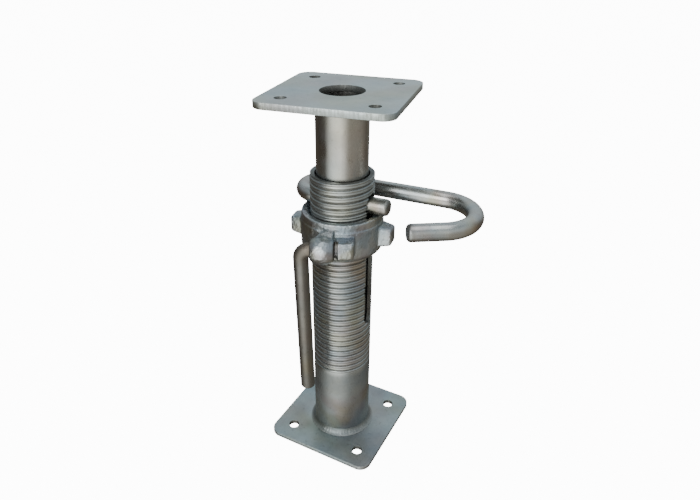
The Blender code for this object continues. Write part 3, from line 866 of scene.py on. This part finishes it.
def make_inner_tube(material):
    """The plain tube with its pairs of pin holes."""
    profile = [
        (INNER_BORE_RADIUS, INNER_FOOT + TUBE_EDGE), (INNER_BORE_RADIUS + TUBE_EDGE, INNER_FOOT),
        (INNER_RADIUS - TUBE_EDGE, INNER_FOOT), (INNER_RADIUS, INNER_FOOT + TUBE_EDGE),
        (INNER_RADIUS, INNER_TOP), (INNER_BORE_RADIUS, INNER_TOP),
    ]
    tube = from_bmesh("drawn_tube", turned(profile, 96))
    holes = bmesh.new()
    reach = direction(PIN_TURN) * (INNER_RADIUS + DRILL_OVERRUN)
    for pair in range(PIN_HOLE_PAIRS):
        centre = Vector((0, 0, PIN_HEIGHT - PIN_HOLE_DROP - pair * PIN_HOLE_SPACING))
        cylinder(holes, PIN_HOLE_RADIUS, centre - reach, centre + reach, 40)
    tube = cut_out(tube, from_bmesh("pin_holes", holes))
    shade(tube.data, 32)
    finish_piece(tube, "inner_tube", material)


def pin_path():
    """The bent pin's centre line in its own plane, with the share of the full thickness at each point."""
    distances, shares = zip(*PIN_END_SHARES)
    flat = [Vector((PIN_TIP - distance * MM, 0)) for distance in distances]
    flat.append(Vector((PIN_RETURN_START, 0)))
    turn_radius = PIN_LEG_OFFSET / 2
    flat += arc(Vector((PIN_RETURN_START, turn_radius)), turn_radius, -math.pi / 2, -math.pi, 40)
    flat.append(Vector((HOOK_START, PIN_LEG_OFFSET)))
    hook_centre = Vector((HOOK_START, PIN_LEG_OFFSET - HOOK_RADIUS))
    flat += arc(hook_centre, HOOK_RADIUS, math.pi / 2, -HOOK_ANGLE, 48)
    heading = Vector((math.cos(HOOK_ANGLE), -math.sin(HOOK_ANGLE)))
    end = flat[-1] + heading * HOOK_END_LENGTH
    flat += [end - heading * distance * MM for distance in reversed(distances)]
    middle = (1.0,) * (len(flat) - 2 * len(shares))
    return flat, shares + middle + shares[::-1]


def handle_path():
    """The handle's centre line in its own plane, with the share of the full thickness at each point."""
    distances, shares = zip(*HANDLE_FOOT_SHARES)
    half = BOSS_LENGTH / 2
    start = -(half + HANDLE_BEND_GAP)
    flat = [Vector((half, 0)), Vector((half - HANDLE_HEAD_THICKNESS, 0)), Vector((start, 0))]
    bend_centre = Vector((start, -HANDLE_BEND_RADIUS))
    flat += arc(bend_centre, HANDLE_BEND_RADIUS, math.pi / 2, HANDLE_BEND_ANGLE, 20)
    heading = Vector((-math.cos(HANDLE_BEND_ANGLE), -math.sin(HANDLE_BEND_ANGLE)))
    end = flat[-1] + heading * (HANDLE_LENGTH - HANDLE_BEND_RADIUS)
    flat += [end - heading * distance * MM for distance in distances]
    middle = (1.0,) * (len(flat) - 1 - len(shares))
    return flat, (HANDLE_HEAD_SHARE,) + middle + shares


def bent_bar(name, place, points, shares, radius, sides, dark_ends, material):
    """A round bar swept along its centre line and put in its place, with its ends darkened."""
    path = path_curve(name, points, shares)
    path.matrix_world = place
    bar = run_tree(path, BAR_TREE, {"Radius": radius, "Sides": sides, "Material": material}, name)
    shade(bar.data, 40)
    darken_ends(bar, sides, dark_ends)
    return bar


def make_pin(material):
    """The hooked pin, which lies level."""
    flat, shares = pin_path()
    points = [Vector((point.x, point.y, 0)) for point in flat]
    place = Matrix.Translation((0, 0, PIN_HEIGHT)) @ Matrix.Rotation(PIN_TURN, 4, "Z")
    dark_ends = (1.0, 1.0, 1.0, 0.95, 0.85, 0.7, 0.4)
    pin = bent_bar("hooked_pin", place, points, shares, PIN_RADIUS, 44, dark_ends, material)
    finish_piece(pin, "bent_pin", material)


def make_handle(material):
    """The handle, which hangs from the boss of the nut."""
    flat, shares = handle_path()
    points = [Vector((0, point.x, point.y)) for point in flat]
    handle = bent_bar("handle_bar", boss_frame(), points, shares, HANDLE_RADIUS, 40, (1.0, 0.6), material)
    finish_piece(handle, "nut_handle", material)


def darken_ends(bar, sides, shares):
    """Stores in 'recess' how dark the rings at both ends of a swept bar are."""
    stored = bar.data.attributes.new("recess", "FLOAT", "POINT")
    last = len(bar.data.vertices) // sides - 1
    for ring, share in enumerate(shares):
        for start in (ring * sides, (last - ring) * sides):
            for number in range(start, start + sides):
                stored.data[number].value = share


def boss_frame():
    """The boss's place on the nut, with Y along its bore."""
    place = direction(NUT_TURN) * BOSS_RADIAL + Vector((0, 0, BOSS_HEIGHT))
    return Matrix.Translation(place) @ Matrix.Rotation(NUT_TURN + BOSS_TURN, 4, "Z")


def along_boss(name, bm):
    """Lays a form that was turned round Z along the boss."""
    bmesh.ops.rotate(bm, verts=bm.verts, cent=(0, 0, 0), matrix=Matrix.Rotation(-math.pi / 2, 3, "X"))
    laid = from_bmesh(name, bm)
    laid.data.transform(boss_frame())
    return laid


def ring_form():
    """The nut's ring, with a rounded foot and a narrower band round its top."""
    profile = [(OUTER_BORE_RADIUS, NUT_FOOT), (NUT_RADIUS - NUT_FOOT_ROUND, NUT_FOOT)]
    for step in range(1, 7):
        angle = step / 6 * math.pi / 2
        inset = NUT_FOOT_ROUND * (1 - math.sin(angle))
        profile.append((NUT_RADIUS - inset, NUT_FOOT + NUT_FOOT_RISE * (1 - math.cos(angle))))
    band = NUT_RADIUS - NUT_BAND_STEP
    profile += [
        (NUT_RADIUS, NUT_TOP - NUT_BAND_HEIGHT - NUT_BAND_STEP), (band, NUT_TOP - NUT_BAND_HEIGHT),
        (band, NUT_TOP - NUT_TOP_EDGE), (band - NUT_TOP_EDGE, NUT_TOP), (OUTER_BORE_RADIUS, NUT_TOP),
    ]
    return from_bmesh("cast_nut", turned(profile, 96))


def lug_form(angle):
    """A lug that narrows outwards, with well rounded edges."""
    corners = ((-1, -1), (1, -1), (1, 1), (-1, 1))
    loops = []
    for reach, (width, height) in ((LUG_ROOT, LUG_ROOT_SIZE), (LUG_END, LUG_END_SIZE)):
        loops.append([Vector((reach, y * width / 2, z * height / 2)) for y, z in corners])
    bm = loft(loops)
    bmesh.ops.recalc_face_normals(bm, faces=bm.faces)
    bmesh.ops.bevel(bm, geom=bm.edges[:], offset=LUG_ROUND, segments=5, profile=0.5, affect="EDGES")
    lug = from_bmesh("lug", bm)
    lift = Matrix.Translation((0, 0, LUG_MIDDLE))
    lug.data.transform(lift @ Matrix.Rotation(NUT_TURN + angle, 4, "Z"))
    return lug


def boss_form():
    """The barrel-shaped boss, with a flattened spot."""
    half = BOSS_LENGTH / 2
    barrel = [(BOSS_PILOT_RADIUS, -half), (BOSS_END_RADIUS - BOSS_EDGE, -half)]
    for step in range(17):
        share = -1 + step / 8
        swell = (BOSS_RADIUS - BOSS_END_RADIUS) * (1 - share * share)
        barrel.append((BOSS_END_RADIUS + swell, share * (half - BOSS_EDGE)))
    barrel += [(BOSS_END_RADIUS - BOSS_EDGE, half), (BOSS_PILOT_RADIUS, half)]
    bm = turned(barrel, 64)
    flatten(bm, BOSS_FLAT_AIM, BOSS_RADIUS - BOSS_FLAT_DEPTH)
    return along_boss("boss", bm)


def flatten(bm, aim, reach):
    """Presses flat whatever stands out further than reach in the aim's direction."""
    for vertex in bm.verts:
        over = vertex.co.dot(aim) - reach
        if over > 0:
            vertex.co -= aim * over


def neck_form():
    """The web between the ring and the boss, which narrows and rises towards the ring's top."""
    ring = direction(NUT_TURN) * (NUT_RADIUS - NECK_SUNK)
    across = direction(NUT_TURN + math.pi / 2)
    boss = boss_frame()
    half, rise = BOSS_LENGTH / 2 * NECK_SHARE, BOSS_RADIUS * NECK_SHARE
    foot, top = NUT_FOOT + NUT_FOOT_RISE, NUT_TOP - NECK_TOP_DROP
    corners = (
        (-1, half, foot, -rise), (1, half, foot, -rise),
        (1, NECK_TOP_FAR, top, rise), (-1, NECK_TOP_NEAR, top, rise),
    )
    inner, outer = [], []
    for side, width, height, lift in corners:
        inner.append(ring + across * side * width + Vector((0, 0, height)))
        outer.append(boss @ Vector((0, side * half, lift)))
    return from_bmesh("neck", loft([inner, outer]))


def handle_bore():
    """What drills the boss for the handle, with a flare for the handle's head."""
    half = BOSS_LENGTH / 2
    end = half + DRILL_OVERRUN
    radius = HANDLE_RADIUS + HANDLE_BORE_GAP
    flare = radius + HANDLE_HEAD_FLARE
    neck = half - HANDLE_HEAD_THICKNESS
    profile = [(0, -end), (radius, -end), (radius, neck), (flare, half), (flare, end), (0, end)]
    return along_boss("drill", turned(profile, 48))


def nut_tap():
    """What cuts the nut's thread: the tube's own thread in step with it, larger by the running gap."""
    turns = math.floor((NUT_FOOT - THREAD_FOOT) / THREAD_PITCH) - TAP_LEAD_TURNS
    thread_foot = THREAD_FOOT + turns * THREAD_PITCH
    foot, rim = thread_foot - 2 * THREAD_PITCH, NUT_TOP + TAP_OVERRUN
    radius = OUTER_RADIUS + THREAD_GAP
    values = thread_values(radius, TAP_BORE_RADIUS, foot, thread_foot, rim, TAP_FADE_TURNS)
    return run_alone(THREAD_TREE, values, "tap")


def nut_countersink():
    """What widens the mouth of the nut's bore."""
    mouth = OUTER_RADIUS + THREAD_GAP
    top = NUT_TOP + CUTTER_OVERRUN
    widest = mouth + NUT_COUNTERSINK + CUTTER_OVERRUN
    profile = [(0, NUT_TOP - NUT_COUNTERSINK - mouth), (widest, top), (0, top)]
    return from_bmesh("countersink", turned(profile, 120))


def make_nut(material):
    """The casting: its lumps are melted together, and it is then drilled, tapped and countersunk."""
    lugs = [lug_form(angle) for angle in LUG_ANGLES]
    nut = joined("cast_nut", [ring_form(), *lugs, boss_form(), neck_form()])
    remesh = nut.modifiers.new("melt", "REMESH")
    remesh.mode = "VOXEL"
    remesh.voxel_size = CAST_GRAIN
    smooth = nut.modifiers.new("smooth", "SMOOTH")
    smooth.factor = 0.5
    smooth.iterations = 5
    nut = bake(nut)
    for cutter in (handle_bore(), nut_tap(), nut_countersink()):
        nut = cut_out(nut, cutter)
    shade(nut.data, 48)
    mark_edges(nut, 3, 2.6)
    finish_piece(nut, "collar_nut", material)


def square_corners(side, turn=0.0):
    """The corners of a level square round the origin."""
    angles = [turn + math.pi / 4 + corner * math.pi / 2 for corner in range(4)]
    return [direction(angle) * side / math.sqrt(2) for angle in angles]


def mark_hole_walls(plate, turn, centre_hole):
    """Stores 1 in 'recess' on the walls of the holes, where dirt and painted shade go."""
    wells = [(place.to_2d(), BOLT_HOLE_RADIUS) for place in square_corners(BOLT_SPACING, turn)]
    if centre_hole:
        wells.append((Vector((0, 0)), centre_hole))
    stored = plate.data.attributes.new("recess", "FLOAT", "POINT")
    for number, vertex in enumerate(plate.data.vertices):
        spot = vertex.co.to_2d()
        inside = any((spot - place).length < radius + HOLE_WALL_REACH for place, radius in wells)
        stored.data[number].value = float(inside)


def make_plate(node, turn, material, centre_hole=0.0):
    """A sheared plate with rolled edges and punched holes."""
    low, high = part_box(node)
    up = Vector((0, 0, high.z - low.z))
    outline = []
    for corner, centre in enumerate(square_corners(PLATE_SIZE - 2 * PLATE_CORNER)):
        angles = [(corner + step / 12) * math.pi / 2 for step in range(13)]
        outline += [centre + direction(angle) * PLATE_CORNER for angle in angles]
    plate = from_bmesh("plate", loft([outline, [point + up for point in outline]]))
    holes = bmesh.new()
    for centre in square_corners(BOLT_SPACING):
        cylinder(holes, BOLT_HOLE_RADIUS, centre - up, centre + up * 2, 40)
    if centre_hole:
        cylinder(holes, centre_hole, -up, up * 2, 96)
    plate = cut_out(plate, from_bmesh("holes", holes))
    bevel = plate.modifiers.new("edge", "BEVEL")
    bevel.width = PLATE_EDGE
    bevel.segments = 3
    bevel.limit_method = "ANGLE"
    bevel.angle_limit = math.radians(40)
    bevel.harden_normals = True
    plate.data.transform(Matrix.Translation((0, 0, low.z)) @ Matrix.Rotation(turn, 4, "Z"))
    plate = bake(plate, "cut_" + node)
    shade(plate.data, 60)
    for face in plate.data.polygons:
        face.use_smooth = abs(face.normal.z) < 0.999
    mark_hole_walls(plate, turn, centre_hole)
    finish_piece(plate, node, material)


def make_weld(node, radius, up, seed, material):
    """A fillet weld between a tube and its plate, up from the plate with 1 and down with -1."""
    low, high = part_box(node)
    seat = low.z if up > 0 else high.z
    values = {
        "Columns": WELD_COLUMNS + 1, "Rows": WELD_ROWS, "Radius": radius, "Leg": WELD_LEG, "Up": float(up),
        "Seat": seat, "Ripples": WELD_RIPPLES, "Seed": float(seed), "Material": material,
    }
    name = node + "_bead"
    bead = joined(name, [run_alone(WELD_TREE, values, name)])
    shade(bead.data, 60)
    mark_edges(bead, 1, 0.4)
    finish_piece(bead, node, material)


# Camera, light and floor.


def photo_turn(point):
    """Turns a point from the photograph's frame, seen along +Y, into the row frame."""
    return Matrix.Rotation(CAMERA_AZIMUTH, 3, "Z") @ Vector(point)


def make_camera():
    """The photograph's camera, turned by its yaw, pitch and roll."""
    data = bpy.data.cameras.new("camera")
    data.lens = CAMERA_LENS
    data.sensor_width = 36
    data.clip_start, data.clip_end = 0.01, 50
    camera = new_object("camera", data)
    ahead = Vector((
        math.sin(CAMERA_YAW) * math.cos(CAMERA_PITCH),
        math.cos(CAMERA_YAW) * math.cos(CAMERA_PITCH),
        -math.sin(CAMERA_PITCH),
    ))
    right = ahead.cross(Vector((0, 0, 1))).normalized()
    up = right.cross(ahead)
    rolled_right = right * math.cos(CAMERA_ROLL) + up * math.sin(CAMERA_ROLL)
    rolled_up = up * math.cos(CAMERA_ROLL) - right * math.sin(CAMERA_ROLL)
    turn = Matrix((rolled_right, rolled_up, -ahead)).transposed()
    turn = Matrix.Rotation(CAMERA_AZIMUTH, 3, "Z") @ turn
    camera.rotation_mode = "QUATERNION"
    camera.rotation_quaternion = turn.to_quaternion()
    camera.location = photo_turn((0, -CAMERA_DISTANCE, CAMERA_HEIGHT))
    bpy.context.scene.camera = camera


def make_world():
    """A studio dome: a cool bright top, dim warm walls, and a soft pale wall to the camera's left."""
    world = bpy.data.worlds.new("studio")
    world.use_nodes = True
    tree = Tree(world.node_tree)
    ahead = tree.add("ShaderNodeTexCoord").outputs["Generated"]
    height = tree.add("ShaderNodeSeparateXYZ", {0: ahead}).outputs[2]
    colour = tree.mix(tree.ramp(height, -0.25, 0.75), (0.14, 0.12, 0.095, 1), (0.52, 0.61, 0.66, 1))
    colour = tree.mix(tree.ramp(height, 0.6, 0.95), colour, (0.42, 0.42, 0.42, 1), "MULTIPLY")
    walls = (
        ((-0.40, -0.82, -0.40), 0.69, 0.99, (1.85, 1.92, 1.88, 1)),
        ((-0.15, -0.95, 0.26), 0.78, 0.97, (0.80, 0.80, 0.74, 1)),
        ((0.62, -0.75, -0.25), 0.25, 0.90, (0.29, 0.28, 0.255, 1)),
        ((0.2, 0.8, 0.55), 0.38, 0.97, (0.26, 0.30, 0.32, 1)),
    )
    for place, start, full, gain in walls:
        aim = photo_turn(place).normalized()
        facing = tree.vector("DOT_PRODUCT", ahead, aim).outputs["Value"]
        colour = tree.mix(tree.ramp(facing, start, full), colour, gain, "ADD")
    aim = photo_turn((-1, 0.2, 0.1)).normalized()
    leftwards = tree.vector("DOT_PRODUCT", ahead, aim).outputs["Value"]
    dimmed = tree.times(tree.ramp(leftwards, 0.35, 0.9), 0.45)
    colour = tree.mix(dimmed, colour, (0.25, 0.24, 0.25, 1), "MULTIPLY")
    background = world.node_tree.nodes["Background"]
    tree.put(colour, background.inputs["Color"])
    background.inputs["Strength"].default_value = 1.0
    bpy.context.scene.world = world


def make_light(name, place, width, height, power):
    """A soft light aimed at the prop."""
    data = bpy.data.lights.new(name, "AREA")
    data.shape = "RECTANGLE"
    data.size, data.size_y = width, height
    data.energy = power
    data.color = LIGHT_COLOUR
    lamp = new_object(name, data)
    lamp.location = photo_turn(place)
    lamp.rotation_mode = "QUATERNION"
    lamp.rotation_quaternion = (photo_turn(LIGHT_AIM) - lamp.location).to_track_quat("-Z", "Y")


def make_stage():
    """A glowing floor that the metal doesn't mirror, and the lights."""
    bm = bmesh.new()
    bmesh.ops.create_grid(bm, x_segments=1, y_segments=1, size=FLOOR_HALF_SIZE)
    floor = from_bmesh("floor", bm)
    floor.location = (0, 0, -FLOOR_DROP)
    floor.visible_glossy = False
    material, _, shader = new_material("pale_floor")
    shader.inputs["Base Color"].default_value = (0.93, 0.93, 0.93, 1)
    shader.inputs["Roughness"].default_value = 0.9
    shader.inputs["Specular IOR Level"].default_value = 0.1
    shader.inputs["Emission Color"].default_value = (1, 1, 1, 1)
    shader.inputs["Emission Strength"].default_value = FLOOR_GLOW
    give_material(floor, material)
    for name, settings in LIGHTS.items():
        make_light(name, *settings)


def main():
    """Makes the materials, the pieces, the camera, the light and the floor."""
    plate = zinc("zinc_plate", (0.56, 0.61, 0.61), 0.40, dirt_and_shade=0.9, dust=0.12, grain_bump=0.25, sheared=True)
    foot = zinc("zinc_foot_plate", (0.39, 0.445, 0.45), 0.42, tint=0.8, dirt_and_shade=0.9, dust=0.12,
                grain_bump=0.25, sheared=True)
    tube = zinc("zinc_tube", (0.52, 0.53, 0.51), 0.30, streak_bump=0.6)
    threaded = zinc("zinc_thread", (0.41, 0.43, 0.42), 0.38, tint=0.7, tint_scale=30.0, dirt_and_shade=0.85,
                    grain_bump=0.15, thread=True)
    bar = zinc("zinc_bar", (0.50, 0.51, 0.49), 0.27, tint=0.7, tint_scale=38.0, dirt_and_shade=0.75, dust=0.08)
    # The handle's zinc is set far darker than the pin's bar: a painted dark reflection and shade.
    handle_zinc_painted_dark = zinc("zinc_grip", (0.215, 0.205, 0.185), 0.46, tint=0.6, dirt_and_shade=0.6)
    cast = zinc("zinc_casting", (0.43, 0.47, 0.485), 0.33, tint=0.8, tint_scale=45.0, dirt_and_shade=0.9, dust=0.06,
                grain_bump=0.7, grain_scale=420.0, blotch_scale=90.0, lumps=3.5)
    weld = zinc("zinc_weld", (0.31, 0.33, 0.32), 0.38, tint=0.6, dirt_and_shade=0.9, grain_bump=0.35)
    make_outer_tube(threaded)
    make_inner_tube(tube)
    make_pin(bar)
    make_handle(handle_zinc_painted_dark)
    make_nut(cast)
    make_plate("base_plate", 0.0, foot)
    make_plate("head_plate", HEAD_TURN, plate, HEAD_HOLE_RADIUS)
    make_weld("base_weld", OUTER_RADIUS, 1, 3, weld)
    make_weld("head_weld", INNER_RADIUS, -1, 7, weld)
    make_camera()
    make_world()
    make_stage()


main()
